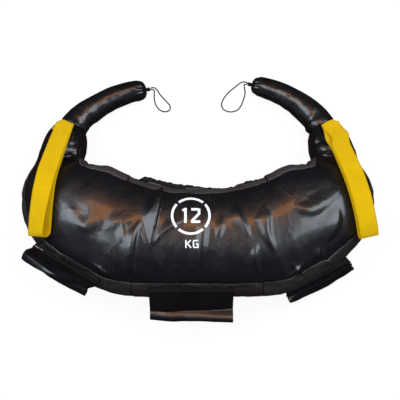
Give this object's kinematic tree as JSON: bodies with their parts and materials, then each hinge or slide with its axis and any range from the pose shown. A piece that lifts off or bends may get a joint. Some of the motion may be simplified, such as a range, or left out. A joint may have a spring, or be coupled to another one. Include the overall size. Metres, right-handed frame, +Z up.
{
  "type": "bulgarian bag",
  "caption": "Crescent-shaped sand training bag of glossy leather with two stuffed horn grips, webbing hand straps, cord loops at the tips and leather hand sleeves on its outer edge.",
  "frame": {"origin": "on the floor, under the middle of the bag's box as it lies flat on its back, wrist loops left out", "axes": "+X along the bag's length to the right as the front panel is seen with the horns up, +Y in the bag's plane from the belly to the horns, +Z up, out of the front panel"},
  "size_m": [0.591, 0.433, 0.1565],
  "materials": {
    "leather": "glossy black imitation leather",
    "matte_leather": "duller black imitation leather",
    "webbing": "woven yellow webbing",
    "cord": "braided black cord",
    "tape": "hook and loop tape",
    "sand": "sand sewn up in cloth",
    "wadding": "tightly packed wadding"
  },
  "bodies": {
    "body": {"front_panel": "leather", "back_panel": "leather", "outer_gusset_left": "matte_leather", "outer_gusset_middle": "matte_leather", "outer_gusset_right": "matte_leather", "inner_gusset_left": "matte_leather", "inner_gusset_right": "matte_leather", "mouth_lip_front": "matte_leather", "mouth_lip_back": "leather", "mouth_hook_tape": "tape", "mouth_loop_tape": "tape", "sand_pouch_left": "sand", "sand_pouch_middle": "sand", "sand_pouch_right": "sand", "shoulder_sleeve_left": "leather", "shoulder_filling_left": "wadding", "strap_tab_left": "webbing", "shoulder_sleeve_right": "leather", "shoulder_filling_right": "wadding", "strap_tab_right": "webbing", "sleeve_welt_left": "leather", "sleeve_welt_middle": "leather", "sleeve_welt_right": "leather"},
    "grip_left": {"grip_sleeve_left": "leather", "grip_filling_left": "wadding", "tip_knot_left": "cord", "wrist_cord_left": "cord"},
    "strap_left": {"hand_strap_left": "webbing"},
    "grip_right": {"grip_sleeve_right": "leather", "grip_filling_right": "wadding", "tip_knot_right": "cord", "wrist_cord_right": "cord"},
    "strap_right": {"hand_strap_right": "webbing"},
    "sleeve_left": {"hand_sleeve_left": "leather"},
    "sleeve_middle": {"hand_sleeve_middle": "leather"},
    "sleeve_right": {"hand_sleeve_right": "leather"}
  },
  "joints": [
    {"name": "grip_left_bend", "type": "hinge", "parent": "body", "child": "grip_left", "pos_m": [-0.2154, 0.12344, 0.0255], "axis": [0, 0, 1], "range_deg": [-12, 12], "stiffness_Nm_per_rad": 4},
    {"name": "grip_right_bend", "type": "hinge", "parent": "body", "child": "grip_right", "pos_m": [0.2154, 0.12344, 0.0255], "axis": [0, 0, 1], "range_deg": [-12, 12], "stiffness_Nm_per_rad": 4},
    {"name": "strap_left_swing", "type": "hinge", "parent": "body", "child": "strap_left", "pos_m": [-0.22485, 0.11926, 0.06181], "axis": [-0.9903, 0.1392, 0], "range_deg": [0, 150]},
    {"name": "strap_right_swing", "type": "hinge", "parent": "body", "child": "strap_right", "pos_m": [0.22476, 0.1193, 0.0625], "axis": [-0.9744, -0.225, 0], "range_deg": [0, 150]},
    {"name": "sleeve_left_lift", "type": "hinge", "parent": "body", "child": "sleeve_left", "pos_m": [-0.20946, -0.12927, 0.11351], "axis": [-0.8663, 0.4995, 0], "range_deg": [0, 105]},
    {"name": "sleeve_middle_lift", "type": "hinge", "parent": "body", "child": "sleeve_middle", "pos_m": [-0.00968, -0.17141, 0.11385], "axis": [-1, -0.0014, 0], "range_deg": [0, 105]},
    {"name": "sleeve_right_lift", "type": "hinge", "parent": "body", "child": "sleeve_right", "pos_m": [0.20146, -0.14675, 0.05143], "axis": [-0.8897, -0.4566, 0], "range_deg": [0, 105]}
  ]
}
